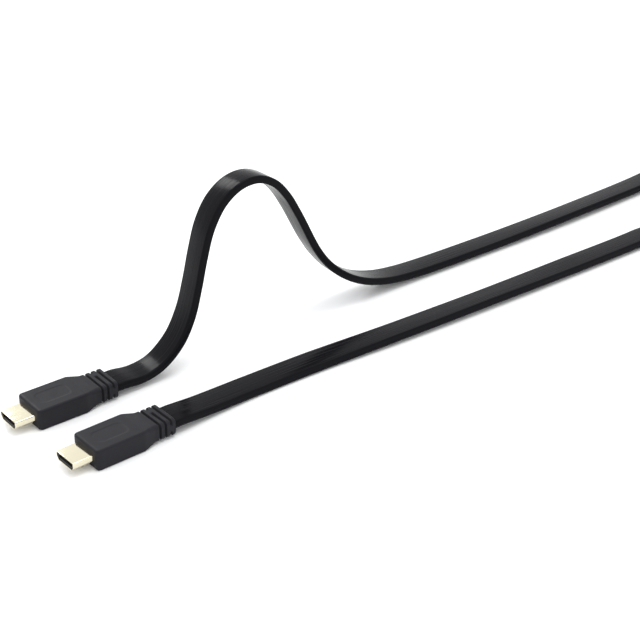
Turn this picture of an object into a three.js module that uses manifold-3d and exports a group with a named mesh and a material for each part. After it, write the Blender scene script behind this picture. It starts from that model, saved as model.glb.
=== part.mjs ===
// A flat HDMI cable, 1 m long, with a moulded plug on each end.
// Millimetres, +Z up. The cable and both plugs lie on the plane z = 0.
// The origin is the middle of the near plug's underside, and its shell points along -X.

import * as THREE from "three";
import { mergeVertices } from "three/addons/utils/BufferGeometryUtils.js";
import Module from "manifold-3d";

// Driving sizes of the plug's metal shell, by the connector's standard
const SHELL_WIDTH = 13.9;
const SHELL_HEIGHT = 4.45;
const SHELL_WALL = 0.35;
const SHELL_REACH = 10.7;
const SHELL_SEAT_DEPTH = 4;
const SHELL_CORNER = 0.5;
const KEY_ACROSS = 1.5;
const KEY_UP = 1.7;

// Driving sizes of the insulator in the shell, whose slot takes the socket's tongue
const INSERT_SETBACK = 0.4;
const INSERT_SIDE = 1.05;
const INSERT_ROOF = 0.35;
const INSERT_FLOOR = 1;
const SLOT_DEPTH = 7;

// Driving sizes of the contacts: one row under the slot's roof, the other on its floor
const CONTACT_COUNT = 19;
const CONTACT_MARGIN = 0.8;
const CONTACT_WIDTH = 0.4;
const CONTACT_THICKNESS = 0.2;
const CONTACT_LENGTH = 5.2;
const CONTACT_SETBACK = 0.8;

// Driving sizes of the moulded housing and its ribbed strain relief
const HOUSING_WIDTH = 19.9;
const HOUSING_HEIGHT = 10.65;
const HOUSING_BODY = 25.6;
const FRONT_ROUND = 1.9;
const EDGE_ROUND = 0.95;
const TAPER_LENGTH = 6.2;
const NECK_WIDTH = 17.4;
const NECK_HEIGHT = 8.8;
const NECK_ROUND = 2;
const RIM_LENGTH = 2.2;
const GROOVE_COUNT = 3;
const GROOVE_WIDTH = 1.2;
const GROOVE_DEPTH = 0.9;
const RIB_WIDTH = 1.85;
const RIB_ROUND = 0.3;
const GROOVE_DRAFT = 0.12;

// Driving sizes of the flat cable
const CABLE_WIDTH = 15;
const CABLE_THICKNESS = 4;
const CABLE_EDGE_ROUND = 1;
const CABLE_LEAD = 5;

// Clearances between pieces that seat on each other
const SEAT_GAP = 0.3;
const INSERT_GAP = 0.25;
const CONTACT_GAP = 0.1;

// Where the far plug lies, measured from the near one
const FAR_PLUG_X = -2.4;
const FAR_PLUG_Y = 43.85;
const FAR_PLUG_YAW = THREE.MathUtils.degToRad(-1.8);

// Places along a plug, from the middle of its housing's body
const FRONT_FACE = -HOUSING_BODY / 2;
const BODY_END = HOUSING_BODY / 2;
const SHELL_TIP = FRONT_FACE - SHELL_REACH;
const SHELL_ROOT = FRONT_FACE + SHELL_SEAT_DEPTH;
const NECK_START = BODY_END + TAPER_LENGTH;
const NECK_END = NECK_START + RIM_LENGTH + GROOVE_COUNT * (GROOVE_WIDTH + RIB_WIDTH);
const PLUG_AXIS_HEIGHT = HOUSING_HEIGHT / 2;
const CABLE_START = NECK_END + SEAT_GAP;
const CABLE_LEAD_END = CABLE_START + CABLE_LEAD;

// The insulator and its slot, measured from the plug's axis, and the step between contacts
const INSERT_FRONT = SHELL_TIP + INSERT_SETBACK;
const INSERT_WIDTH = SHELL_WIDTH - 2 * (SHELL_WALL + INSERT_GAP);
const INSERT_HEIGHT = SHELL_HEIGHT - 2 * (SHELL_WALL + INSERT_GAP);
const SLOT_WIDTH = INSERT_WIDTH - 2 * INSERT_SIDE;
const CONTACT_PITCH = (SLOT_WIDTH - 2 * CONTACT_MARGIN) / (CONTACT_COUNT - 1);
const SLOT_TOP = INSERT_HEIGHT / 2 - INSERT_ROOF;
const SLOT_BOTTOM = -INSERT_HEIGHT / 2 + INSERT_FLOOR;

// The cable's route over the floor: x, y, height of its middle, and its lean in degrees.
// It leaves the near plug, runs flat, turns back on its edge beyond x = 442,
// runs flat again and rises in an arch before it reaches the far plug.
const ROUTE = [
  [52, 0.8, 3.7, -1],
  [78, 1.6, 2.4, -1],
  [118, 0, 2.3, -2],
  [165, -4.2, 2.9, -7],
  [225, -8.1, 3.15, -9],
  [288, -10.9, 2.95, -6],
  [345, -12.9, 3.05, -7],
  [395, -14.3, 6.1, -36],
  [442, -13.9, 7.65, -78],
  [463, -6.4, 7.65, -88],
  [470.7, 11, 7.65, -90],
  [463, 28.2, 7.65, -86],
  [447, 35.2, 7.6, -70],
  [428, 36, 5.6, -34],
  [408, 34.9, 3.5, 8],
  [330, 34.2, 3.4, 10],
  [262, 36.7, 2.9, 7],
  [211.5, 39.1, 3.9, 6],
  [193.5, 39.6, 6.7, 5],
  [178.6, 40, 12.1, 3.5],
  [166.7, 40.3, 19.9, -0.5],
  [157.1, 40.5, 29.5, -5],
  [149.6, 40.7, 40.4, -6.5],
  [137.4, 41, 64.2, -4],
  [130.8, 41.2, 75.3, -1.5],
  [122.8, 41.4, 83.9, 2.5],
  [113.2, 41.6, 88.3, 5.5],
  [102.9, 41.8, 87.5, 6.5],
  [93.4, 42, 81.5, 7],
  [86.3, 42.1, 70.9, 7.5],
  [81.7, 42.2, 57.1, 7.5],
  [77.8, 42.3, 41.9, 7.5],
  [73.1, 42.4, 27.1, 7],
  [65.8, 42.5, 14.9, 7],
  [54.5, 42.6, 6.4, 6.5],
  [43.2, 42.7, 4.2, 3],
];
const STEPS_BETWEEN_POINTS = 2;
const CABLE_ARC_POINTS = 2;
const HOUSING_ARC_POINTS = 5;
const FRONT_ROUND_STATIONS = 5;

const wasm = await Module();
wasm.setup();

const finishes = {
  gold: { color: 0xe0dabd, metalness: 1, roughness: 0.28 },
  insulator: { color: 0x2b2b2d, metalness: 0, roughness: 0.6 },
  contact: { color: 0xd9b65c, metalness: 1, roughness: 0.25 },
  housing: { color: 0x1d1d1f, metalness: 0, roughness: 0.45 },
  jacket: { color: 0x161617, metalness: 0, roughness: 0.3 },
};

function makeMesh(name, geometry, finish) {
  const mesh = new THREE.Mesh(geometry, new THREE.MeshStandardMaterial(finish));
  mesh.name = name;
  return mesh;
}

// Keeps only the positions and joins the vertices that lie on each other
function closedGeometry(geometry) {
  geometry.deleteAttribute("normal");
  geometry.deleteAttribute("uv");
  geometry.clearGroups();
  return mergeVertices(geometry, 1e-4);
}

function toSolid(geometry) {
  const closed = closedGeometry(geometry);
  return new wasm.Manifold(
    new wasm.Mesh({
      numProp: 3,
      vertProperties: new Float32Array(closed.attributes.position.array),
      triVerts: new Uint32Array(closed.index.array),
    })
  );
}

function fromSolid(solid) {
  const mesh = solid.getMesh();
  const geometry = new THREE.BufferGeometry();
  geometry.setAttribute("position", new THREE.BufferAttribute(mesh.vertProperties, 3));
  geometry.setIndex(new THREE.BufferAttribute(mesh.triVerts, 1));
  return geometry;
}

// A rectangle with round corners, each corner with the same number of points
function roundedRectangle(width, height, radius, arcPoints) {
  const shape = new THREE.Shape();
  const centreX = width / 2 - radius;
  const centreY = height / 2 - radius;
  const corners = [
    [centreX, -centreY, -90],
    [centreX, centreY, 0],
    [-centreX, centreY, 90],
    [-centreX, -centreY, 180],
  ];
  const points = [];
  for (const [x, y, start] of corners) {
    for (let i = 0; i <= arcPoints; i += 1) {
      const angle = THREE.MathUtils.degToRad(start + (90 * i) / arcPoints);
      points.push(new THREE.Vector2(x + radius * Math.cos(angle), y + radius * Math.sin(angle)));
    }
  }
  shape.setFromPoints(points);
  return shape;
}

// The shell's outline: its two lower corners are cut, which keys the plug
function keyedShape(inset) {
  const half = SHELL_WIDTH / 2 - inset;
  const top = SHELL_HEIGHT / 2 - inset;
  const bottom = -SHELL_HEIGHT / 2 + inset;
  const corner = Math.max(SHELL_CORNER - inset, 0.1);
  const shape = new THREE.Shape();
  shape.moveTo(-half + KEY_ACROSS, bottom);
  shape.lineTo(half - KEY_ACROSS, bottom);
  shape.lineTo(half, bottom + KEY_UP);
  shape.lineTo(half, top - corner);
  shape.absarc(half - corner, top - corner, corner, 0, Math.PI / 2, false);
  shape.lineTo(-half + corner, top);
  shape.absarc(-half + corner, top - corner, corner, Math.PI / 2, Math.PI, false);
  shape.lineTo(-half, bottom + KEY_UP);
  shape.closePath();
  return shape;
}

// Turns an extrusion so that its length runs along X, its width along Y and its height along Z
function alongX(geometry, start) {
  const turn = new THREE.Matrix4().makeBasis(
    new THREE.Vector3(0, 1, 0),
    new THREE.Vector3(0, 0, 1),
    new THREE.Vector3(1, 0, 0)
  );
  geometry.applyMatrix4(turn);
  geometry.translate(start, 0, PLUG_AXIS_HEIGHT);
  return geometry;
}

function extrudeAlongX(shape, start, end) {
  const settings = { depth: end - start, bevelEnabled: false, curveSegments: 4 };
  return alongX(new THREE.ExtrudeGeometry(shape, settings), start);
}

function boxAlongX(start, length, across, width, bottom, top) {
  const box = new THREE.BoxGeometry(length, width, top - bottom);
  box.translate(start + length / 2, across, PLUG_AXIS_HEIGHT + (bottom + top) / 2);
  return box;
}

// A sleeve of sheet metal, open at both ends
function shellGeometry() {
  const outline = keyedShape(0);
  outline.holes.push(keyedShape(SHELL_WALL));
  return closedGeometry(extrudeAlongX(outline, SHELL_TIP, SHELL_ROOT));
}

// The insulator fills the shell, and its slot is open at the front
function insertGeometry() {
  const block = toSolid(extrudeAlongX(keyedShape(SHELL_WALL + INSERT_GAP), INSERT_FRONT, SHELL_ROOT));
  const start = INSERT_FRONT - INSERT_SETBACK;
  const slot = toSolid(boxAlongX(start, INSERT_SETBACK + SLOT_DEPTH, 0, SLOT_WIDTH, SLOT_BOTTOM, SLOT_TOP));
  return fromSolid(block.subtract(slot));
}

// Neighbours lie in turn under the slot's roof and on its floor
function contactGeometry(index) {
  const across = (index - (CONTACT_COUNT - 1) / 2) * CONTACT_PITCH;
  const bottom =
    index % 2 === 0 ? SLOT_TOP - CONTACT_GAP - CONTACT_THICKNESS : SLOT_BOTTOM + CONTACT_GAP;
  const start = INSERT_FRONT + CONTACT_SETBACK;
  return boxAlongX(start, CONTACT_LENGTH, across, CONTACT_WIDTH, bottom, bottom + CONTACT_THICKNESS);
}

// The housing's section at each place along the plug, from its front face to its rear
function housingStations() {
  const stations = [];
  for (let i = 0; i <= FRONT_ROUND_STATIONS; i += 1) {
    const angle = (Math.PI / 2) * (i / FRONT_ROUND_STATIONS);
    stations.push({
      x: FRONT_FACE + FRONT_ROUND * (1 - Math.cos(angle)),
      width: HOUSING_WIDTH - 2 * FRONT_ROUND * (1 - Math.sin(angle)),
      height: HOUSING_HEIGHT - 2 * EDGE_ROUND * (1 - Math.sin(angle)),
      round: EDGE_ROUND,
    });
  }
  stations.push({ x: BODY_END, width: HOUSING_WIDTH, height: HOUSING_HEIGHT, round: EDGE_ROUND });
  stations.push(neckStation(NECK_START, 0));
  let x = NECK_START + RIM_LENGTH;
  for (let i = 0; i < GROOVE_COUNT; i += 1) {
    const ribStart = x + GROOVE_WIDTH;
    const ribEnd = ribStart + RIB_WIDTH;
    stations.push(neckStation(x - RIB_ROUND, 0));
    stations.push(neckStation(x, RIB_ROUND));
    stations.push(neckStation(x + GROOVE_DRAFT, GROOVE_DEPTH));
    stations.push(neckStation(ribStart - GROOVE_DRAFT, GROOVE_DEPTH));
    stations.push(neckStation(ribStart, RIB_ROUND));
    stations.push(neckStation(ribStart + RIB_ROUND, 0));
    x = ribEnd;
  }
  stations.push(neckStation(NECK_END - RIB_ROUND, 0));
  stations.push(neckStation(NECK_END, RIB_ROUND));
  return stations;
}

function neckStation(x, inset) {
  return {
    x,
    width: NECK_WIDTH - 2 * inset,
    height: NECK_HEIGHT - 2 * inset,
    round: NECK_ROUND - inset,
  };
}

// Carries each ring of a straight extrusion to its own station, corner by corner
function loftGeometry(stations) {
  const half = 1;
  const round = 0.5;
  const straight = half - round;
  const section = roundedRectangle(2 * half, 2 * half, round, HOUSING_ARC_POINTS);
  const steps = stations.length - 1;
  const geometry = new THREE.ExtrudeGeometry(section, { depth: steps, steps, bevelEnabled: false });
  const position = geometry.attributes.position;
  for (let i = 0; i < position.count; i += 1) {
    const station = stations[Math.round(position.getZ(i))];
    const sideX = Math.sign(position.getX(i));
    const sideY = Math.sign(position.getY(i));
    const scale = station.round / round;
    const x = sideX * (station.width / 2 - station.round) + (position.getX(i) - sideX * straight) * scale;
    const y = sideY * (station.height / 2 - station.round) + (position.getY(i) - sideY * straight) * scale;
    position.setXYZ(i, x, y, station.x);
  }
  return alongX(geometry, 0);
}

// The housing is moulded round the shell's root, and its ribs bend with the cable
function housingGeometry() {
  const body = toSolid(loftGeometry(housingStations()));
  const seatEnd = SHELL_ROOT + SEAT_GAP;
  const seat = toSolid(extrudeAlongX(keyedShape(-SEAT_GAP), FRONT_FACE - SEAT_GAP, seatEnd));
  return fromSolid(body.subtract(seat));
}

function makePlug(prefix, x, y, yaw) {
  const plug = new THREE.Group();
  plug.add(makeMesh(`${prefix}_shell`, shellGeometry(), finishes.gold));
  plug.add(makeMesh(`${prefix}_insert`, insertGeometry(), finishes.insulator));
  plug.add(makeMesh(`${prefix}_housing`, housingGeometry(), finishes.housing));
  for (let i = 0; i < CONTACT_COUNT; i += 1) {
    plug.add(makeMesh(`${prefix}_contact_${i + 1}`, contactGeometry(i), finishes.contact));
  }
  plug.position.set(x, y, 0);
  plug.rotation.z = yaw;
  return plug;
}

// A route point straight behind a plug that lies at x, y and is turned by yaw
function behindPlug(reach, x, y, yaw) {
  return [x + reach * Math.cos(yaw), y + reach * Math.sin(yaw), PLUG_AXIS_HEIGHT, 0];
}

// The cable's middle line, its width's direction and its thickness's at each step
function cableFrames() {
  const points = [
    behindPlug(CABLE_START, 0, 0, 0),
    behindPlug(CABLE_LEAD_END, 0, 0, 0),
    ...ROUTE,
    behindPlug(CABLE_LEAD_END, FAR_PLUG_X, FAR_PLUG_Y, FAR_PLUG_YAW),
    behindPlug(CABLE_START, FAR_PLUG_X, FAR_PLUG_Y, FAR_PLUG_YAW),
  ];
  const middle = new THREE.CatmullRomCurve3(
    points.map(([x, y, z]) => new THREE.Vector3(x, y, z)),
    false,
    "centripetal"
  );
  const steps = (points.length - 1) * STEPS_BETWEEN_POINTS;
  const up = new THREE.Vector3(0, 0, 1);
  const frames = [];
  for (let i = 0; i <= steps; i += 1) {
    const t = i / steps;
    const tangent = middle.getTangent(t);
    const side = new THREE.Vector3().crossVectors(up, tangent).normalize();
    const normal = new THREE.Vector3().crossVectors(tangent, side);
    const before = Math.min(Math.floor(i / STEPS_BETWEEN_POINTS), points.length - 2);
    const share = i / STEPS_BETWEEN_POINTS - before;
    const lean = THREE.MathUtils.lerp(points[before][3], points[before + 1][3], share);
    const turn = new THREE.Quaternion().setFromAxisAngle(tangent, THREE.MathUtils.degToRad(lean));
    side.applyQuaternion(turn);
    normal.applyQuaternion(turn);
    frames.push({ centre: middle.getPoint(t), side, normal });
  }
  return frames;
}

// A straight extrusion of the flat section, each ring carried to its place on the route
function cableGeometry() {
  const frames = cableFrames();
  const steps = frames.length - 1;
  const section = roundedRectangle(CABLE_WIDTH, CABLE_THICKNESS, CABLE_EDGE_ROUND, CABLE_ARC_POINTS);
  const geometry = new THREE.ExtrudeGeometry(section, { depth: steps, steps, bevelEnabled: false });
  const position = geometry.attributes.position;
  for (let i = 0; i < position.count; i += 1) {
    const frame = frames[Math.round(position.getZ(i))];
    const point = frame.centre.clone();
    point.addScaledVector(frame.side, position.getX(i));
    point.addScaledVector(frame.normal, position.getY(i));
    position.setXYZ(i, point.x, point.y, point.z);
  }
  return closedGeometry(geometry);
}

const cable = new THREE.Group();
cable.add(makePlug("near_plug", 0, 0, 0));
cable.add(makePlug("far_plug", FAR_PLUG_X, FAR_PLUG_Y, FAR_PLUG_YAW));
cable.add(makeMesh("cable_jacket", cableGeometry(), finishes.jacket));

export default cable;
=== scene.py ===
# %% [markdown]
# A flat HDMI cable, 1 m long, with a moulded plug on each end.
# The real object is a flat extruded vinyl jacket, two moulded housings with ribbed strain
# reliefs, and in each housing a keyed metal shell, a dark insulator and nineteen contacts.
# The CAD model holds their places and sizes. This lesson dresses it: every piece here goes
# where its CAD node is, in metres, with +Z up and the floor at z = 0.

# %% Load the frame
import math

import bmesh
import bpy
import numpy as np
from mathutils import Matrix, Vector


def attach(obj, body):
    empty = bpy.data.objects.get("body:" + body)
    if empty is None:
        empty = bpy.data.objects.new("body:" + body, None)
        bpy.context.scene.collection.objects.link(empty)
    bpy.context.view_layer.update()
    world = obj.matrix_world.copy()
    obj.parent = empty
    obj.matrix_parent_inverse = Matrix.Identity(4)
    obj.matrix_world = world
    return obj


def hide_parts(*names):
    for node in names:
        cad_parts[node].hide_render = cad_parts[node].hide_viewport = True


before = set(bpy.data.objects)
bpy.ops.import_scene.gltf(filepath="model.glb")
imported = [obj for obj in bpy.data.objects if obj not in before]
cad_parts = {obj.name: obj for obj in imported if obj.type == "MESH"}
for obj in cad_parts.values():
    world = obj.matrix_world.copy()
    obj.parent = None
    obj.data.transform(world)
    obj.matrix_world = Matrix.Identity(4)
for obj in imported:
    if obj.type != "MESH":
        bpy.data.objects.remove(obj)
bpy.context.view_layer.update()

# %% [markdown]
# Real cables are drawn in millimetres and Blender works in metres, so one value turns one
# into the other. Colours are written as sRGB hex, the way a paint chip is named, and turned
# to the linear values that a shader needs. One function adds any node with its settings,
# its fixed values and its links, so that each tree below reads as a list of steps.

# %% Units, colours and nodes
MM = 0.001


def linear_colour(code):
    channels = [int(code[i : i + 2], 16) / 255 for i in (1, 3, 5)]
    return [c / 12.92 if c <= 0.04045 else ((c + 0.055) / 1.055) ** 2.4 for c in channels] + [1.0]


def add_node(tree, kind, settings=None, values=None, links=None):
    node = tree.nodes.new(kind)
    for name, value in (settings or {}).items():
        setattr(node, name, value)
    for socket, value in (values or {}).items():
        node.inputs[socket].default_value = value
    for socket, source in (links or {}).items():
        tree.links.new(source, node.inputs[socket])
    return node


def link_object(name, data):
    made = bpy.data.objects.new(name, data)
    bpy.context.scene.collection.objects.link(made)
    return made


# %% [markdown]
# The camera comes first, because it decides which stretch of the cable shows. The picture
# was taken with a long lens from the front left, about 30 degrees above the table. A long
# lens keeps the two strands almost parallel. The camera's axes are built from its azimuth,
# elevation and roll, and it looks at one point of the floor.

# %% Camera
PICTURE_PIXELS = 640
FOCAL_PIXELS = 1700
SENSOR_WIDTH = 36
CAMERA_AZIMUTH = math.radians(-39.578)
CAMERA_ELEVATION = math.radians(29.81)
CAMERA_ROLL = math.radians(0.104)
CAMERA_DISTANCE = 869.6 * MM
CAMERA_TARGET = Vector((149.3 * MM, 32.5 * MM, 0))
FARTHEST_SEEN = 50

camera_data = bpy.data.cameras.new("camera")
camera_data.sensor_width = SENSOR_WIDTH
camera_data.lens = SENSOR_WIDTH * FOCAL_PIXELS / PICTURE_PIXELS
camera_data.clip_end = FARTHEST_SEEN
camera = link_object("camera", camera_data)
back = Vector(
    (
        math.sin(CAMERA_AZIMUTH) * math.cos(CAMERA_ELEVATION),
        -math.cos(CAMERA_AZIMUTH) * math.cos(CAMERA_ELEVATION),
        math.sin(CAMERA_ELEVATION),
    )
)
level_right = Vector((math.cos(CAMERA_AZIMUTH), math.sin(CAMERA_AZIMUTH), 0))
level_up = back.cross(level_right)
right = level_right * math.cos(CAMERA_ROLL) + level_up * math.sin(CAMERA_ROLL)
up = back.cross(right)
camera.matrix_world = (
    Matrix.Translation(CAMERA_TARGET + back * CAMERA_DISTANCE)
    @ Matrix((right, up, back)).transposed().to_4x4()
)
bpy.context.scene.camera = camera
print("lens", round(camera_data.lens, 1), "mm, camera at", [round(v, 3) for v in camera.location])

# %% [markdown]
# A flat cable bends easily across its thin side and hardly at all across its wide side.
# So it rises in an arch on its face, and to turn back on the table it stands on its edge.
# Its route is a list of points: x, y, the height of its middle, all in metres,
# and how far the flat leans, in degrees. The two points at each end lie straight behind a
# plug. A smooth curve through the points gives the middle line, and the lean follows it.

# %% The cable's route
PLUG_AXIS_HEIGHT = 5.325 * MM
NEAR_PLUG = (0.0, 0.0, 0.0)
FAR_PLUG = (-2.4 * MM, 43.85 * MM, math.radians(-1.8))
NECK_END = 30.35 * MM
CABLE_START = NECK_END + 0.3 * MM
CABLE_LEAD_END = CABLE_START + 5 * MM
CABLE_WIDTH = 15 * MM
CABLE_THICKNESS = 4 * MM
CABLE_EDGE_ROUND = 1 * MM
ROUTE = [
    (0.052, 0.0008, 0.0037, -1),
    (0.078, 0.0016, 0.0024, -1),
    (0.118, 0, 0.0023, -2),
    (0.165, -0.0042, 0.0029, -7),
    (0.225, -0.0081, 0.00315, -9),
    (0.288, -0.0109, 0.00295, -6),
    (0.345, -0.0129, 0.00305, -7),
    (0.395, -0.0143, 0.0061, -36),
    (0.442, -0.0139, 0.00765, -78),
    (0.463, -0.0064, 0.00765, -88),
    (0.4707, 0.011, 0.00765, -90),
    (0.463, 0.0282, 0.00765, -86),
    (0.447, 0.0352, 0.0076, -70),
    (0.428, 0.036, 0.0056, -34),
    (0.408, 0.0349, 0.0035, 8),
    (0.33, 0.0342, 0.0034, 10),
    (0.262, 0.0367, 0.0029, 7),
    (0.2115, 0.0391, 0.0039, 6),
    (0.1935, 0.0396, 0.0067, 5),
    (0.1786, 0.04, 0.0121, 3.5),
    (0.1667, 0.0403, 0.0199, -0.5),
    (0.1571, 0.0405, 0.0295, -5),
    (0.1496, 0.0407, 0.0404, -6.5),
    (0.1374, 0.041, 0.0642, -4),
    (0.1308, 0.0412, 0.0753, -1.5),
    (0.1228, 0.0414, 0.0839, 2.5),
    (0.1132, 0.0416, 0.0883, 5.5),
    (0.1029, 0.0418, 0.0875, 6.5),
    (0.0934, 0.042, 0.0815, 7),
    (0.0863, 0.0421, 0.0709, 7.5),
    (0.0817, 0.0422, 0.0571, 7.5),
    (0.0778, 0.0423, 0.0419, 7.5),
    (0.0731, 0.0424, 0.0271, 7),
    (0.0658, 0.0425, 0.0149, 7),
    (0.0545, 0.0426, 0.0064, 6.5),
    (0.0432, 0.0427, 0.0042, 3),
]
CABLE_STEP = 1.5 * MM


def behind_plug(reach, plug):
    x, y, yaw = plug
    return (x + reach * math.cos(yaw), y + reach * math.sin(yaw), PLUG_AXIS_HEIGHT, 0)


def between(t, start, end, first, last):
    return ((end - t) * first + (t - start) * last) / (end - start)


def smooth_line(points, step):
    """Samples a centripetal Catmull-Rom curve through the points, about one step apart."""
    rows = np.array(points, float)
    rows = np.vstack([2 * rows[0] - rows[1], rows, 2 * rows[-1] - rows[-2]])
    gaps = np.linalg.norm(np.diff(rows[:, :3], axis=0), axis=1)
    knots = np.concatenate([[0], np.cumsum(np.sqrt(gaps))])
    samples = []
    for i in range(1, len(rows) - 2):
        k0, k1, k2, k3 = knots[i - 1 : i + 3]
        p0, p1, p2, p3 = rows[i - 1 : i + 3]
        count = max(2, round(gaps[i] / step))
        for share in np.arange(count) / count:
            t = k1 + share * (k2 - k1)
            q0 = between(t, k0, k1, p0, p1)
            q1 = between(t, k1, k2, p1, p2)
            q2 = between(t, k2, k3, p2, p3)
            r0 = between(t, k0, k2, q0, q1)
            r1 = between(t, k1, k3, q1, q2)
            sample = between(t, k1, k2, r0, r1)
            # The lean changes evenly from point to point
            sample[3] = between(share, 0, 1, p1[3], p2[3])
            samples.append(sample)
    samples.append(rows[-2])
    return np.array(samples)


route = [behind_plug(CABLE_START, NEAR_PLUG), behind_plug(CABLE_LEAD_END, NEAR_PLUG)]
route += ROUTE
route += [behind_plug(CABLE_LEAD_END, FAR_PLUG), behind_plug(CABLE_START, FAR_PLUG)]
line = smooth_line(route, CABLE_STEP)


def lift_off_table(samples):
    """Raises the samples whose section would dip under the table."""
    steps = np.gradient(samples[:, :3], axis=0)
    level = np.hypot(steps[:, 0], steps[:, 1]) / np.linalg.norm(steps, axis=1)
    leans = np.radians(samples[:, 3])
    reach = (CABLE_WIDTH / 2 - CABLE_EDGE_ROUND) * np.abs(np.sin(leans))
    reach += (CABLE_THICKNESS / 2 - CABLE_EDGE_ROUND) * np.abs(np.cos(leans))
    lowest = reach * level + CABLE_EDGE_ROUND
    print("most a sample is raised", round(float((lowest - samples[:, 2]).max()) / MM, 2), "mm")
    samples[:, 2] = np.maximum(samples[:, 2], lowest)


lift_off_table(line)
cable_length = float(np.linalg.norm(np.diff(line[:, :3], axis=0), axis=1).sum())
print("route points", len(route), "samples", len(line), "length", round(cable_length, 4), "m")

# %% [markdown]
# The jacket is soft vinyl, pressed hot through a slot-shaped die. The die leaves fine lines
# along the cable, the surface is glossy, and its black hides everything but reflections. So
# the finish is a dark gloss with streaks that run along the cable. The streaks read the
# jacket's own coordinates, which the tree further down stores on each point as
# cable_space: how far along the cable, how far across it and how high on its thickness.

# %% Finish of the jacket
JACKET_BLACK = "#121215"
JACKET_SPECULAR = 0.04
# The die lines are finer than this on a real jacket, and are drawn as coarse as the picture shows
STREAK_SIZES = (38 * MM, 0.9 * MM, 0.9 * MM)
STREAK_HEIGHT = 0.04 * MM
RIPPLE_SIZES = (26 * MM, 5 * MM, 5 * MM)
RIPPLE_HEIGHT = 0.06 * MM


def new_finish(name, colour, metallic, roughness, specular=None):
    """A material with one Principled shader, returned with its tree and that shader."""
    finish = bpy.data.materials.new(name)
    finish.use_nodes = True
    tree = finish.node_tree
    shader = tree.nodes["Principled BSDF"]
    shader.inputs["Base Color"].default_value = linear_colour(colour)
    shader.inputs["Metallic"].default_value = metallic
    shader.inputs["Roughness"].default_value = roughness
    if specular is not None:
        shader.inputs["Specular IOR Level"].default_value = specular
    return finish, tree, shader


def noise_over(tree, vector, sizes, detail):
    """Noise whose grains measure sizes along the vector's three axes."""
    scale = [1 / size for size in sizes]
    place = add_node(tree, "ShaderNodeMapping", values={"Scale": scale}, links={"Vector": vector})
    return add_node(
        tree,
        "ShaderNodeTexNoise",
        values={"Scale": 1, "Detail": detail},
        links={"Vector": place.outputs["Vector"]},
    )


def noise_on_piece(tree, sizes, detail):
    """Noise over the coordinates of the piece itself."""
    coords = add_node(tree, "ShaderNodeTexCoord")
    return noise_over(tree, coords.outputs["Object"], sizes, detail)


def noise_to_roughness(tree, shader, noise, noise_span, roughness_span):
    """Roughness that goes through its span while the noise goes through its own."""
    spread = add_node(
        tree,
        "ShaderNodeMapRange",
        values={
            "From Min": noise_span[0],
            "From Max": noise_span[1],
            "To Min": roughness_span[0],
            "To Max": roughness_span[1],
        },
        links={"Value": noise.outputs["Fac"]},
    )
    tree.links.new(spread.outputs["Result"], shader.inputs["Roughness"])


def noise_to_normal(tree, shader, noises, heights):
    """Bumps of the given heights, each laid over the one before it."""
    normal = {}
    for noise, height in zip(noises, heights):
        bump = add_node(
            tree,
            "ShaderNodeBump",
            values={"Distance": height},
            links={"Height": noise.outputs["Fac"], **normal},
        )
        normal = {"Normal": bump.outputs["Normal"]}
    tree.links.new(normal["Normal"], shader.inputs["Normal"])


jacket_finish, tree, shader = new_finish(
    "extruded_black_vinyl", JACKET_BLACK, metallic=0, roughness=0.3, specular=JACKET_SPECULAR
)
space = add_node(tree, "ShaderNodeAttribute", {"attribute_name": "cable_space"})
streaks = noise_over(tree, space.outputs["Vector"], STREAK_SIZES, detail=3)
ripples = noise_over(tree, space.outputs["Vector"], RIPPLE_SIZES, detail=1)
noise_to_roughness(tree, shader, streaks, noise_span=(0.35, 0.65), roughness_span=(0.12, 0.34))
noise_to_normal(tree, shader, (ripples, streaks), (RIPPLE_HEIGHT, STREAK_HEIGHT))

# %% [markdown]
# The jacket itself is one section carried along the middle line, which is what a die does.
# It could be an extrusion or a bevelled curve. Geometry Nodes do it here, because the same
# tree can also store each point's place along and across the cable for the streaks above.
# The middle line becomes a curve whose tilt is the lean. The tree sweeps a rectangle with
# round corners along it, caps both ends, and names the finish.

# %% Geometry Nodes helpers
def new_tree(name, sizes):
    """A geometry tree with named inputs, and its input and output nodes."""
    tree = bpy.data.node_groups.new(name, "GeometryNodeTree")
    tree.interface.new_socket("Geometry", in_out="INPUT", socket_type="NodeSocketGeometry")
    tree.interface.new_socket("Geometry", in_out="OUTPUT", socket_type="NodeSocketGeometry")
    for label, kind in sizes.items():
        tree.interface.new_socket(label, in_out="INPUT", socket_type="NodeSocket" + kind)
    return tree, tree.nodes.new("NodeGroupInput"), tree.nodes.new("NodeGroupOutput")


def end_tree(tree, source, result, geometry):
    """Ends a tree in Realize Instances and Set Material."""
    solid = add_node(tree, "GeometryNodeRealizeInstances", links={"Geometry": geometry})
    coated = add_node(
        tree,
        "GeometryNodeSetMaterial",
        links={"Geometry": solid.outputs["Geometry"], "Material": source.outputs["Finish"]},
    )
    tree.links.new(coated.outputs["Geometry"], result.inputs["Geometry"])


def lay_at_plug(tree, source, geometry):
    """Moves and turns a tree's geometry to where its plug lies."""
    laid = add_node(
        tree,
        "GeometryNodeTransform",
        links={
            "Geometry": geometry,
            "Translation": source.outputs["Place"],
            "Rotation": source.outputs["Turn"],
        },
    )
    return laid.outputs["Geometry"]


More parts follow.
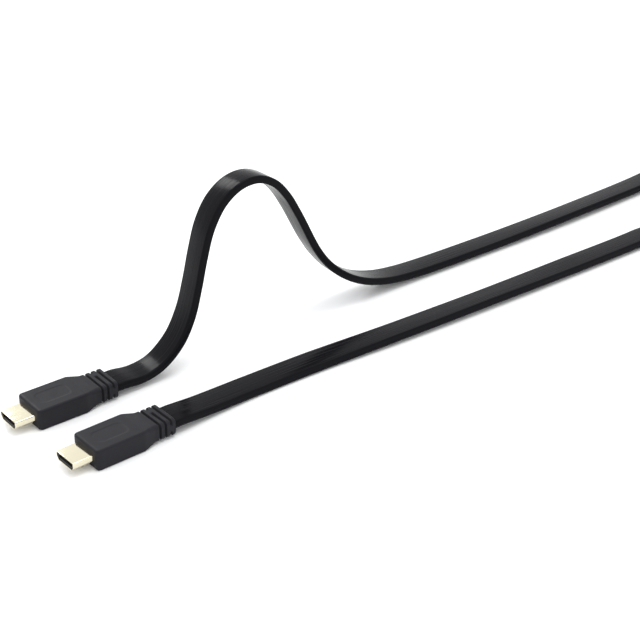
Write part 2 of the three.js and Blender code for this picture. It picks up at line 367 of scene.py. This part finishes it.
def run_tree(tree, start, name, sizes, crease_degrees):
    """Runs a tree on an object's data and returns a plain mesh object; the start is removed."""
    modifier = start.modifiers.new("shape", "NODES")
    modifier.node_group = tree
    for item in tree.interface.items_tree:
        if item.item_type == "SOCKET" and item.in_out == "INPUT" and item.name in sizes:
            modifier[item.identifier] = sizes[item.name]
    depsgraph = bpy.context.evaluated_depsgraph_get()
    shaped = start.evaluated_get(depsgraph)
    mesh = bpy.data.meshes.new_from_object(
        shaped, preserve_all_data_layers=True, depsgraph=depsgraph
    )
    start.modifiers.clear()
    bpy.data.objects.remove(start)
    return smooth_piece(name, mesh, crease_degrees)


def smooth_piece(name, mesh, crease_degrees):
    """Makes a mesh an object, smooth but for edges that turn by more than crease_degrees."""
    mesh.name = name
    mesh.shade_smooth()
    mesh.set_sharp_from_angle(angle=math.radians(crease_degrees))
    print(name, "has", len(mesh.vertices), "points and", len(mesh.polygons), "faces")
    return link_object(name, mesh)


# %% Tree of the flat jacket
tree, source, result = new_tree(
    "flat_jacket",
    {
        "Width": "Float",
        "Thickness": "Float",
        "Edge Round": "Float",
        "Round Steps": "Int",
        "Finish": "Material",
    },
)
square = add_node(
    tree,
    "GeometryNodeCurvePrimitiveQuadrilateral",
    links={"Width": source.outputs["Width"], "Height": source.outputs["Thickness"]},
)
section = add_node(
    tree,
    "GeometryNodeFilletCurve",
    {"mode": "POLY"},
    links={
        "Curve": square.outputs["Curve"],
        "Count": source.outputs["Round Steps"],
        "Radius": source.outputs["Edge Round"],
    },
)
kept_section = add_node(tree, "GeometryNodeCaptureAttribute", links={"Geometry": section.outputs["Curve"]})
kept_section.capture_items.new("VECTOR", "Section Place")
section_place = add_node(tree, "GeometryNodeInputPosition")
tree.links.new(section_place.outputs["Position"], kept_section.inputs["Section Place"])
kept_line = add_node(tree, "GeometryNodeCaptureAttribute", links={"Geometry": source.outputs["Geometry"]})
kept_line.capture_items.new("FLOAT", "Along")
reach = add_node(tree, "GeometryNodeSplineParameter")
tree.links.new(reach.outputs["Length"], kept_line.inputs["Along"])
swept = add_node(
    tree,
    "GeometryNodeCurveToMesh",
    values={"Fill Caps": True},
    links={"Curve": kept_line.outputs["Geometry"], "Profile Curve": kept_section.outputs["Geometry"]},
)
split = add_node(tree, "ShaderNodeSeparateXYZ", links={"Vector": kept_section.outputs["Section Place"]})
joined = add_node(
    tree,
    "ShaderNodeCombineXYZ",
    links={"X": kept_line.outputs["Along"], "Y": split.outputs["X"], "Z": split.outputs["Y"]},
)
stored = add_node(
    tree,
    "GeometryNodeStoreNamedAttribute",
    {"data_type": "FLOAT_VECTOR", "domain": "POINT"},
    {"Name": "cable_space"},
    {"Geometry": swept.outputs["Mesh"], "Value": joined.outputs["Vector"]},
)
end_tree(tree, source, result, stored.outputs["Geometry"])
jacket_tree = tree

# %% Jacket
ROOT_DEPTH = 1.5 * MM
EDGE_ROUND_STEPS = 6
JACKET_CREASE = 50


def middle_curve(name, samples):
    """The middle line as a curve object, its tilt set from the lean."""
    curve = bpy.data.curves.new(name, "CURVE")
    curve.dimensions = "3D"
    curve.twist_mode = "Z_UP"
    spline = curve.splines.new("POLY")
    spline.points.add(len(samples) - 1)
    for point, (x, y, z, lean) in zip(spline.points, samples):
        point.co = (x, y, z, 1)
        point.tilt = math.radians(lean)
    return link_object(name, curve)


# The jacket runs on a little way into both strain reliefs, which are moulded round it
near_end = np.array(behind_plug(CABLE_START - ROOT_DEPTH, NEAR_PLUG))
far_end = np.array(behind_plug(CABLE_START - ROOT_DEPTH, FAR_PLUG))
rooted = np.vstack([near_end, line, far_end])
jacket = run_tree(
    jacket_tree,
    middle_curve("middle_line", rooted),
    "jacket",
    {
        "Width": CABLE_WIDTH,
        "Thickness": CABLE_THICKNESS,
        "Edge Round": CABLE_EDGE_ROUND,
        "Round Steps": EDGE_ROUND_STEPS,
        "Finish": jacket_finish,
    },
    JACKET_CREASE,
)
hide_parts("cable_jacket")
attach(jacket, "root")
jacket_points = np.array([v.co for v in jacket.data.vertices])
print("jacket box", jacket_points.min(axis=0).round(4), jacket_points.max(axis=0).round(4))

# %% [markdown]
# Each housing is soft vinyl again, but injected into a steel mould round the shell's root
# and the cable. The mould's walls are spark-eroded, so the skin is satin, not glossy. Its
# shape is one block with round edges that tapers to a neck. It is modelled as rings of
# points from the front face to the rear, each ring a rectangle with round corners. The top
# face has a shallow recessed field with round corners and a sloping wall.

# %% Finish of the housings
HOUSING_BLACK = "#232327"
HOUSING_SPECULAR = 0.1
# Spark-eroded grain is near 0.05 mm, and is drawn as coarse as it needs to show
GRAIN_SIZES = (0.35 * MM, 0.35 * MM, 0.35 * MM)
GRAIN_HEIGHT = 0.01 * MM
MOTTLE_SIZES = (6 * MM, 6 * MM, 6 * MM)

housing_finish, tree, shader = new_finish(
    "moulded_satin_vinyl", HOUSING_BLACK, metallic=0, roughness=0.42, specular=HOUSING_SPECULAR
)
grain = noise_on_piece(tree, GRAIN_SIZES, detail=2)
mottle = noise_on_piece(tree, MOTTLE_SIZES, detail=2)
noise_to_roughness(tree, shader, mottle, noise_span=(0.3, 0.7), roughness_span=(0.36, 0.48))
noise_to_normal(tree, shader, (grain,), (GRAIN_HEIGHT,))

# %% Rings of the housing
HOUSING_WIDTH = 19.9 * MM
HOUSING_HEIGHT = 10.65 * MM
BODY_END = 12.8 * MM
FRONT_FACE = -12.8 * MM
FRONT_ROUND = 1.9 * MM
EDGE_ROUND = 0.95 * MM
NECK_START = 19 * MM
NECK_WIDTH = 17.4 * MM
NECK_HEIGHT = 8.8 * MM
NECK_ROUND = 2 * MM
KNEE = 1.6 * MM
REAR_ROUND = 0.4 * MM
TOP_STEPS = 44
SIDE_STEPS = 22
CORNER_STEPS = 6
FIELD_LENGTH = 16.8 * MM
FIELD_WIDTH = 9.6 * MM
FIELD_MIDDLE = 0.4 * MM
FIELD_CORNER = 3 * MM
FIELD_DEPTH = 0.1 * MM
FIELD_WALL = 0.5 * MM
TOP_FACE_DEPTH = 0.01 * MM
FRONT_RINGS = 9
BODY_RINGS = 54
TAPER_RINGS = 28
KNEE_SAMPLES = 9
NECK_RINGS = 84
REAR_RINGS = 5
HOUSING_CREASE = 40


def ease(share):
    """From 0 to 1 with a soft start and a soft end."""
    share = np.clip(share, 0, 1)
    return share * share * (3 - 2 * share)


def ring_points(width, height, radius):
    """A rectangle with round corners, as across and up, with the same count of points always."""
    straight_x = width / 2 - radius
    straight_y = height / 2 - radius
    # Each corner's side across and up, where its arc starts, and the steps that follow it
    corners = [
        (1, -1, -90, SIDE_STEPS),
        (1, 1, 0, TOP_STEPS),
        (-1, 1, 90, SIDE_STEPS),
        (-1, -1, 180, TOP_STEPS),
    ]
    arcs = []
    for side_x, side_y, first, _ in corners:
        angles = np.radians(first + 90 * np.arange(CORNER_STEPS + 1) / CORNER_STEPS)
        arc_x = side_x * straight_x + radius * np.cos(angles)
        arc_y = side_y * straight_y + radius * np.sin(angles)
        arcs.append(np.stack([arc_x, arc_y], axis=1))
    points = []
    for i, (_, _, _, steps) in enumerate(corners):
        points.extend(arcs[i])
        following = arcs[(i + 1) % len(arcs)][0]
        for share in np.arange(1, steps) / steps:
            points.append(arcs[i][-1] * (1 - share) + following * share)
    return np.array(points)


def housing_sections():
    """Place, width, height and corner radius from the front face to the rear."""
    sections = []
    for turn in np.linspace(0, np.pi / 2, FRONT_RINGS):
        back_by = FRONT_ROUND * (1 - math.cos(turn))
        in_by = 1 - math.sin(turn)
        width = HOUSING_WIDTH - 2 * FRONT_ROUND * in_by
        height = HOUSING_HEIGHT - 2 * EDGE_ROUND * in_by
        sections.append((FRONT_FACE + back_by, width, height, EDGE_ROUND))
    for x in np.linspace(FRONT_FACE + FRONT_ROUND, BODY_END - KNEE / 2, BODY_RINGS)[1:]:
        sections.append((x, HOUSING_WIDTH, HOUSING_HEIGHT, EDGE_ROUND))
    # The taper is flat, with a knee of about KNEE at each end
    knee = np.linspace(-KNEE / 2, KNEE / 2, KNEE_SAMPLES)
    for x in np.linspace(BODY_END - KNEE / 2, NECK_START + KNEE / 2, TAPER_RINGS)[1:]:
        narrowed = np.clip((x + knee - BODY_END) / (NECK_START - BODY_END), 0, 1).mean()
        width = HOUSING_WIDTH + (NECK_WIDTH - HOUSING_WIDTH) * narrowed
        height = HOUSING_HEIGHT + (NECK_HEIGHT - HOUSING_HEIGHT) * narrowed
        sections.append((x, width, height, EDGE_ROUND + (NECK_ROUND - EDGE_ROUND) * narrowed))
    for x in np.linspace(NECK_START + KNEE / 2, NECK_END - REAR_ROUND, NECK_RINGS)[1:]:
        sections.append((x, NECK_WIDTH, NECK_HEIGHT, NECK_ROUND))
    for turn in np.linspace(0, np.pi / 2, REAR_RINGS)[1:]:
        in_by = REAR_ROUND * (1 - math.cos(turn))
        x = NECK_END - REAR_ROUND * (1 - math.sin(turn))
        sections.append((x, NECK_WIDTH - 2 * in_by, NECK_HEIGHT - 2 * in_by, NECK_ROUND - in_by))
    return sections


def field_share(along, across):
    """1 inside the top face's recessed field, 0 outside it, and a slope between."""
    out_x = np.abs(along - FIELD_MIDDLE) - (FIELD_LENGTH / 2 - FIELD_CORNER)
    out_y = np.abs(across) - (FIELD_WIDTH / 2 - FIELD_CORNER)
    outside = np.hypot(np.maximum(out_x, 0), np.maximum(out_y, 0))
    outside += np.minimum(np.maximum(out_x, out_y), 0)
    return 1 - ease((outside - FIELD_CORNER + FIELD_WALL) / FIELD_WALL)


def loft_mesh(name, rings, capped):
    """A skin over rings of points with equal counts, closed at both ends or joined end to end."""
    count = len(rings[0])
    points = np.vstack(rings)
    faces = []
    for i in range(len(rings) - 1 if capped else len(rings)):
        here = i * count
        there = (i + 1) % len(rings) * count
        for j in range(count):
            k = (j + 1) % count
            faces.append((here + j, here + k, there + k, there + j))
    if capped:
        faces.append(tuple(range(count))[::-1])
        faces.append(tuple(range(len(points) - count, len(points))))
    mesh = bpy.data.meshes.new(name)
    mesh.from_pydata(points.tolist(), [], faces)
    grid = bmesh.new()
    grid.from_mesh(mesh)
    bmesh.ops.recalc_face_normals(grid, faces=grid.faces)
    grid.to_mesh(mesh)
    grid.free()
    return mesh


def standing_ring(along, outline):
    """An outline, as across and up, stood square on the plug's axis at a place along it."""
    ring = np.full((len(outline), 3), float(along))
    ring[:, 1] = outline[:, 0]
    ring[:, 2] = outline[:, 1] + PLUG_AXIS_HEIGHT
    return ring


def housing_mesh(name):
    rings = []
    for x, width, height, radius in housing_sections():
        across_up = ring_points(width, height, radius)
        ring = standing_ring(x, across_up)
        on_top = across_up[:, 1] > height / 2 - TOP_FACE_DEPTH
        ring[:, 2] -= FIELD_DEPTH * field_share(ring[:, 0], ring[:, 1]) * on_top
        rings.append(ring)
    return loft_mesh(name, rings, capped=True)


# %% [markdown]
# Behind the taper the moulded neck has three grooves. They leave thin ribs, so the neck can
# flex and the cable doesn't break where it enters. Where a groove would cut the neck in two
# it is bridged by a small web, and the webs are staggered from groove to groove. This is a
# pattern that repeats, so a tree carves it: for each point it finds which groove it is in
# and how deep in its profile, takes the webs away, and moves the point inwards.

# %% Tree of the strain relief
def number(tree, operation, first, second=None):
    """One step of arithmetic in a tree, on sockets or plain numbers, and its output."""
    values = {}
    links = {}
    for i, term in enumerate([first] if second is None else [first, second]):
        if isinstance(term, (int, float)):
            values[i] = term
        else:
            links[i] = term
    return add_node(tree, "ShaderNodeMath", {"operation": operation}, values, links).outputs["Value"]


def ramp(tree, value, start, end):
    """A smooth rise from 0 at start to 1 at end."""
    return add_node(
        tree,
        "ShaderNodeMapRange",
        {"interpolation_type": "SMOOTHSTEP"},
        {"From Min": start, "From Max": end},
        {"Value": value},
    ).outputs["Result"]


GROOVES = 3
FIRST_RIB = 1.95 * MM
GROOVE_START = NECK_START + FIRST_RIB
GROOVE_WIDTH = 1.7 * MM
RIB_WIDTH = 1.35 * MM
GROOVE_DEPTH = 1.1 * MM
GROOVE_DRAFT = 0.6 * MM
WEB_WIDTH = 2.6 * MM
WEB_SLOPE = 0.7 * MM
WEB_ACROSS = 4.2 * MM
TOP_WEB_GROOVE = 1
SIDE_WEB_GROOVE = 2

tree, source, result = new_tree(
    "strain_relief",
    {
        "Grooves": "Int",
        "Groove Start": "Float",
        "Groove Pitch": "Float",
        "Groove Width": "Float",
        "Groove Depth": "Float",
        "Place": "Vector",
        "Turn": "Rotation",
        "Finish": "Material",
    },
)
place = add_node(tree, "GeometryNodeInputPosition")
axes = add_node(tree, "ShaderNodeSeparateXYZ", links={"Vector": place.outputs["Position"]})
from_start = number(tree, "SUBTRACT", axes.outputs["X"], source.outputs["Groove Start"])
which = number(tree, "FLOOR", number(tree, "DIVIDE", from_start, source.outputs["Groove Pitch"]))
within = number(tree, "SUBTRACT", from_start, number(tree, "MULTIPLY", which, source.outputs["Groove Pitch"]))
down = ramp(tree, within, 0, GROOVE_DRAFT)
up_from = number(tree, "SUBTRACT", source.outputs["Groove Width"], within)
carved = number(tree, "MULTIPLY", down, ramp(tree, up_from, 0, GROOVE_DRAFT))
first = number(tree, "GREATER_THAN", which, -0.5)
last = number(tree, "LESS_THAN", which, number(tree, "SUBTRACT", source.outputs["Grooves"], 0.5))
carved = number(tree, "MULTIPLY", carved, number(tree, "MULTIPLY", first, last))
height = number(tree, "SUBTRACT", axes.outputs["Z"], PLUG_AXIS_HEIGHT)
slanted = number(tree, "MULTIPLY", axes.outputs["Y"], number(tree, "SIGN", height))
web_half = WEB_WIDTH / 2
top_web = number(tree, "ABSOLUTE", number(tree, "SUBTRACT", slanted, WEB_ACROSS))
top_web = ramp(tree, top_web, web_half + WEB_SLOPE, web_half)
top_web = number(tree, "MULTIPLY", top_web, number(tree, "COMPARE", which, TOP_WEB_GROOVE))
side_web = ramp(tree, number(tree, "ABSOLUTE", height), web_half + WEB_SLOPE, web_half)
side_web = number(tree, "MULTIPLY", side_web, number(tree, "COMPARE", which, SIDE_WEB_GROOVE))
from_middle = number(tree, "ABSOLUTE", axes.outputs["Y"])
at_side = number(tree, "GREATER_THAN", from_middle, NECK_WIDTH / 2 - NECK_ROUND)
webs = number(tree, "MAXIMUM", top_web, number(tree, "MULTIPLY", side_web, at_side))
depth = number(tree, "MULTIPLY", carved, number(tree, "SUBTRACT", 1, webs))
depth = number(tree, "MULTIPLY", depth, number(tree, "MULTIPLY", source.outputs["Groove Depth"], -1))
normal = add_node(tree, "GeometryNodeInputNormal")
inwards = add_node(
    tree,
    "ShaderNodeVectorMath",
    {"operation": "SCALE"},
    links={0: normal.outputs["Normal"], "Scale": depth},
)
moved = add_node(
    tree,
    "GeometryNodeSetPosition",
    links={"Geometry": source.outputs["Geometry"], "Offset": inwards.outputs["Vector"]},
)
end_tree(tree, source, result, lay_at_plug(tree, source, moved.outputs["Geometry"]))
relief_tree = tree

# %% Housings
PLUGS = {"near": NEAR_PLUG, "far": FAR_PLUG}
for side, (x, y, yaw) in PLUGS.items():
    housing = run_tree(
        relief_tree,
        link_object("plain_housing", housing_mesh("plain_housing")),
        f"{side}_housing",
        {
            "Grooves": GROOVES,
            "Groove Start": GROOVE_START,
            "Groove Pitch": GROOVE_WIDTH + RIB_WIDTH,
            "Groove Width": GROOVE_WIDTH,
            "Groove Depth": GROOVE_DEPTH,
            "Place": (x, y, 0),
            "Turn": (0, 0, yaw),
            "Finish": housing_finish,
        },
        HOUSING_CREASE,
    )
    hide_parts(f"{side}_plug_housing")
    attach(housing, "root")

# %% [markdown]
# The shell is folded from thin steel or brass sheet and plated with a pale gold flash. Its
# two lower corners are cut off, which keys the plug one way up. The sheet's cut edge at the
# tip is rolled a little inwards, so a socket guides it. It is lofted as a sleeve: rings run
# back along the outside, round the tip, and along the inside.

# %% Finish and shape of the shells
SHELL_GOLD = "#e0d9c0"
SHELL_WIDTH = 13.9 * MM
SHELL_HEIGHT = 4.45 * MM
SHELL_WALL = 0.35 * MM
SHELL_TIP = -23.5 * MM
SHELL_ROOT = -8.8 * MM
KEY_ACROSS = 1.5 * MM
KEY_UP = 1.7 * MM
TOP_CORNER = 0.55 * MM
KEY_CORNER = 0.5 * MM
TIP_ROUND = 0.3 * MM
LEAST_CORNER = 0.12 * MM
SHELL_CORNER_STEPS = 6
TIP_RINGS = 5
LIP_RINGS = 4
SHELL_CREASE = 35
# Rolling lines in the sheet run along the shell, a few thousandths of a millimetre deep
ROLLED_SIZES = (9 * MM, 0.3 * MM, 0.3 * MM)
ROLLED_HEIGHT = 0.004 * MM

shell_finish, tree, shader = new_finish("gold_flashed_sheet", SHELL_GOLD, metallic=1, roughness=0.24)
rolled = noise_on_piece(tree, ROLLED_SIZES, detail=3)
noise_to_roughness(tree, shader, rolled, noise_span=(0.3, 0.7), roughness_span=(0.08, 0.15))
noise_to_normal(tree, shader, (rolled,), (ROLLED_HEIGHT,))


def rounded_outline(corners, radii, steps):
    """A closed outline through straight sides, each corner rounded by an arc."""
    points = []
    total = len(corners)
    for i, radius in enumerate(radii):
        corner = np.array(corners[i])
        before = np.array(corners[i - 1]) - corner
        after = np.array(corners[(i + 1) % total]) - corner
        before = before / np.linalg.norm(before)
        after = after / np.linalg.norm(after)
        half_angle = math.acos(float(np.clip(before @ after, -1, 1))) / 2
        inwards = (before + after) / np.linalg.norm(before + after)
        centre = corner + inwards * radius / math.sin(half_angle)
        reach = radius / math.tan(half_angle)
        start = corner + before * reach - centre
        end = corner + after * reach - centre
        sweep = math.pi - 2 * half_angle
        for share in np.arange(steps + 1) / steps:
            first = math.sin((1 - share) * sweep) / math.sin(sweep)
            second = math.sin(share * sweep) / math.sin(sweep)
            points.append(centre + start * first + end * second)
    return np.array(points)


def shell_outline(inset):
    """The keyed outline, as across and up, moved inwards by inset."""
    half = SHELL_WIDTH / 2 - inset
    top = SHELL_HEIGHT / 2 - inset
    # The cut corner's slant moves in by inset too, so its two legs shorten and keep their slope
    shortened = inset * (KEY_ACROSS + KEY_UP - math.hypot(KEY_ACROSS, KEY_UP)) / KEY_UP
    across = KEY_ACROSS - shortened
    rise = across * KEY_UP / KEY_ACROSS
    corners = [
        (-half + across, -top),
        (half - across, -top),
        (half, -top + rise),
        (half, top),
        (-half, top),
        (-half, -top + rise),
    ]
    key_corner = max(KEY_CORNER - inset, LEAST_CORNER)
    top_corner = max(TOP_CORNER - inset, LEAST_CORNER)
    radii = [key_corner, key_corner, key_corner, top_corner, top_corner, key_corner]
    return rounded_outline(corners, radii, SHELL_CORNER_STEPS)


def plug_to_row(points, plug):
    """Turns plug-local points to where that plug lies."""
    x, y, yaw = plug
    turned = points.copy()
    turned[:, 0] = x + points[:, 0] * math.cos(yaw) - points[:, 1] * math.sin(yaw)
    turned[:, 1] = y + points[:, 0] * math.sin(yaw) + points[:, 1] * math.cos(yaw)
    return turned


def shell_rings(plug):
    """Rings along the outside to the tip, round the rolled edge and back along the inside."""
    places = [(SHELL_ROOT, 0)]
    for turn in np.linspace(0, np.pi / 2, TIP_RINGS):
        outside = TIP_ROUND / 2 * (1 - math.cos(turn))
        places.append((SHELL_TIP + TIP_ROUND * (1 - math.sin(turn)), outside))
    for turn in np.linspace(np.pi / 2, 0, LIP_RINGS)[1:]:
        inside = SHELL_WALL - (SHELL_WALL - TIP_ROUND / 2) * (1 - math.cos(turn))
        places.append((SHELL_TIP + TIP_ROUND / 2 * (1 - math.sin(turn)), inside))
    places.append((SHELL_ROOT, SHELL_WALL))
    return [plug_to_row(standing_ring(along, shell_outline(inset)), plug) for along, inset in places]


for side, plug in PLUGS.items():
    sleeve = loft_mesh(f"{side}_shell", shell_rings(plug), capped=False)
    shell = smooth_piece(f"{side}_shell", sleeve, SHELL_CREASE)
    shell.data.materials.append(shell_finish)
    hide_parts(f"{side}_plug_shell")
    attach(shell, "root")

# %% [markdown]
# In the shell sits a black nylon block with a slot for the socket's tongue. Its CAD solid
# has the right shape, so it stays and only gets a finish.

# %% Insulators
INSULATOR_BLACK = "#232324"
NYLON_SPECULAR = 0.25
NYLON_SIZES = (0.4 * MM, 0.4 * MM, 0.4 * MM)
NYLON_HEIGHT = 0.008 * MM

insulator_finish, tree, shader = new_finish(
    "black_nylon", INSULATOR_BLACK, metallic=0, roughness=0.55, specular=NYLON_SPECULAR
)
nylon = noise_on_piece(tree, NYLON_SIZES, detail=2)
noise_to_normal(tree, shader, (nylon,), (NYLON_HEIGHT,))
for side in PLUGS:
    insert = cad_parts[f"{side}_plug_insert"]
    insert.data.materials.clear()
    insert.data.materials.append(insulator_finish)

# %% [markdown]
# Nineteen springy contacts lie in the slot, ten under its roof and nine on its floor, each
# half a step beside its neighbour in the other row. They are stamped from thin bronze, bent
# into a low bow that presses on the socket's tongue, and plated with gold. One contact is
# made once, as a strip swept along a bow, and two rows of copies are laid by the tree.

# %% Contacts
CONTACT_GOLD = "#d8b25a"
CONTACT_STEP = 1 * MM
CONTACT_WIDTH = 0.4 * MM
CONTACT_THICKNESS = 0.2 * MM
CONTACT_LENGTH = 5.2 * MM
CONTACT_BOW = 0.25 * MM
BOW_STEPS = 8
CONTACT_CREASE = 40
UPPER_COUNT = 10
LOWER_COUNT = 9
CONTACT_FRONT = -22.3 * MM
UPPER_ROW = PLUG_AXIS_HEIGHT + 1.075 * MM
LOWER_ROW = PLUG_AXIS_HEIGHT - 0.425 * MM
STAMPED_SIZES = (2 * MM, 0.1 * MM, 0.1 * MM)

contact_finish, tree, shader = new_finish("gold_plated_bronze", CONTACT_GOLD, metallic=1, roughness=0.2)
stamped = noise_on_piece(tree, STAMPED_SIZES, detail=2)
noise_to_roughness(tree, shader, stamped, noise_span=(0, 1), roughness_span=(0.14, 0.3))

tree, source, result = new_tree(
    "contact_rows",
    {
        "Upper Count": "Int",
        "Lower Count": "Int",
        "Step": "Vector",
        "Upper Start": "Vector",
        "Lower Start": "Vector",
        "Bow Middle": "Vector",
        "Strip End": "Vector",
        "Strip Width": "Float",
        "Strip Thickness": "Float",
        "Place": "Vector",
        "Turn": "Rotation",
        "Finish": "Material",
    },
)
bow = add_node(
    tree,
    "GeometryNodeCurveQuadraticBezier",
    values={"Resolution": BOW_STEPS, "Start": (0, 0, 0)},
    links={"Middle": source.outputs["Bow Middle"], "End": source.outputs["Strip End"]},
)
strip_section = add_node(
    tree,
    "GeometryNodeCurvePrimitiveQuadrilateral",
    links={"Width": source.outputs["Strip Width"], "Height": source.outputs["Strip Thickness"]},
)
strip = add_node(
    tree,
    "GeometryNodeCurveToMesh",
    values={"Fill Caps": True},
    links={"Curve": bow.outputs["Curve"], "Profile Curve": strip_section.outputs["Curve"]},
)
rows = []
for count, start, roll in (("Upper Count", "Upper Start", 0), ("Lower Count", "Lower Start", math.pi)):
    spots = add_node(
        tree,
        "GeometryNodeMeshLine",
        links={
            "Count": source.outputs[count],
            "Start Location": source.outputs[start],
            "Offset": source.outputs["Step"],
        },
    )
    rows.append(
        add_node(
            tree,
            "GeometryNodeInstanceOnPoints",
            values={"Rotation": (roll, 0, 0)},
            links={"Points": spots.outputs["Mesh"], "Instance": strip.outputs["Mesh"]},
        )
    )
both = add_node(tree, "GeometryNodeJoinGeometry")
for row in rows:
    tree.links.new(row.outputs["Instances"], both.inputs["Geometry"])
end_tree(tree, source, result, lay_at_plug(tree, source, both.outputs["Geometry"]))
contact_tree = tree

for side, (x, y, yaw) in PLUGS.items():
    contacts = run_tree(
        contact_tree,
        link_object("no_contacts", bpy.data.meshes.new("no_contacts")),
        f"{side}_contacts",
        {
            "Upper Count": UPPER_COUNT,
            "Lower Count": LOWER_COUNT,
            "Step": (0, CONTACT_STEP, 0),
            "Upper Start": (CONTACT_FRONT, -(UPPER_COUNT - 1) / 2 * CONTACT_STEP, UPPER_ROW),
            "Lower Start": (CONTACT_FRONT, -(LOWER_COUNT - 1) / 2 * CONTACT_STEP, LOWER_ROW),
            "Bow Middle": (CONTACT_LENGTH / 2, 0, -CONTACT_BOW),
            "Strip End": (CONTACT_LENGTH, 0, 0),
            "Strip Width": CONTACT_WIDTH,
            "Strip Thickness": CONTACT_THICKNESS,
            "Place": (x, y, 0),
            "Turn": (0, 0, yaw),
            "Finish": contact_finish,
        },
        CONTACT_CREASE,
    )
    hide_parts(*[f"{side}_plug_contact_{i}" for i in range(1, 20)])
    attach(contacts, "root")

# %% [markdown]
# The picture is a product shot on white. Glossy black shows only what it mirrors, so the
# surroundings matter more than the lamps: the flat strands mirror the room beyond them, the
# sides mirror the table, and the arch's crown mirrors a soft lamp high at the back. A second
# lamp above draws a thin light line on each rounded edge. The room itself is an even white,
# as in a light tent, and both lamps are square soft boxes.

# %% Table and light
TABLE_SIZE = 14
TABLE_WHITE = "#fafafa"
TABLE_SPECULAR = 0.1
FIBRE_SIZES = (3 * MM, 3 * MM, 3 * MM)
FIBRE_HEIGHT = 0.01 * MM
ROOM_WHITE = "#fdfeff"
ROOM_STRENGTH = 1.18
LIGHT_AIM = Vector((0.14, 0.04, 0.05))
BACK_LIGHT = {"direction": Vector((0.09, 0.84, 0.53)), "distance": 1.6, "size": 0.45, "watts": 6.5}
TOP_LIGHT = {"direction": Vector((0.1, -0.1, 1)), "distance": 1.4, "size": 0.6, "watts": 6}

table_finish, tree, shader = new_finish(
    "white_matt_board", TABLE_WHITE, metallic=0, roughness=0.9, specular=TABLE_SPECULAR
)
fibre = noise_on_piece(tree, FIBRE_SIZES, detail=2)
noise_to_normal(tree, shader, (fibre,), (FIBRE_HEIGHT,))

table_mesh = bpy.data.meshes.new("table")
half = TABLE_SIZE / 2
table_mesh.from_pydata(
    [(-half, -half, 0), (half, -half, 0), (half, half, 0), (-half, half, 0)], [], [(0, 1, 2, 3)]
)
table_mesh.materials.append(table_finish)
table = link_object("table", table_mesh)

room = bpy.data.worlds.new("room")
room.use_nodes = True
background = room.node_tree.nodes["Background"]
background.inputs["Color"].default_value = linear_colour(ROOM_WHITE)
background.inputs["Strength"].default_value = ROOM_STRENGTH
bpy.context.scene.world = room


def soft_box(name, direction, distance, size, watts):
    """A square lamp that stands in a direction from the cable and faces it."""
    data = bpy.data.lights.new(name, "AREA")
    data.size = size
    data.energy = watts
    lamp = link_object(name, data)
    lamp.location = LIGHT_AIM + direction.normalized() * distance
    lamp.rotation_euler = (-direction).to_track_quat("-Z", "Y").to_euler()
    print(name, size, "m wide at", [round(v, 2) for v in lamp.location])


soft_box("soft_box_at_the_back", **BACK_LIGHT)
soft_box("soft_box_above", **TOP_LIGHT)
bpy.context.scene.view_settings.view_transform = "Standard"
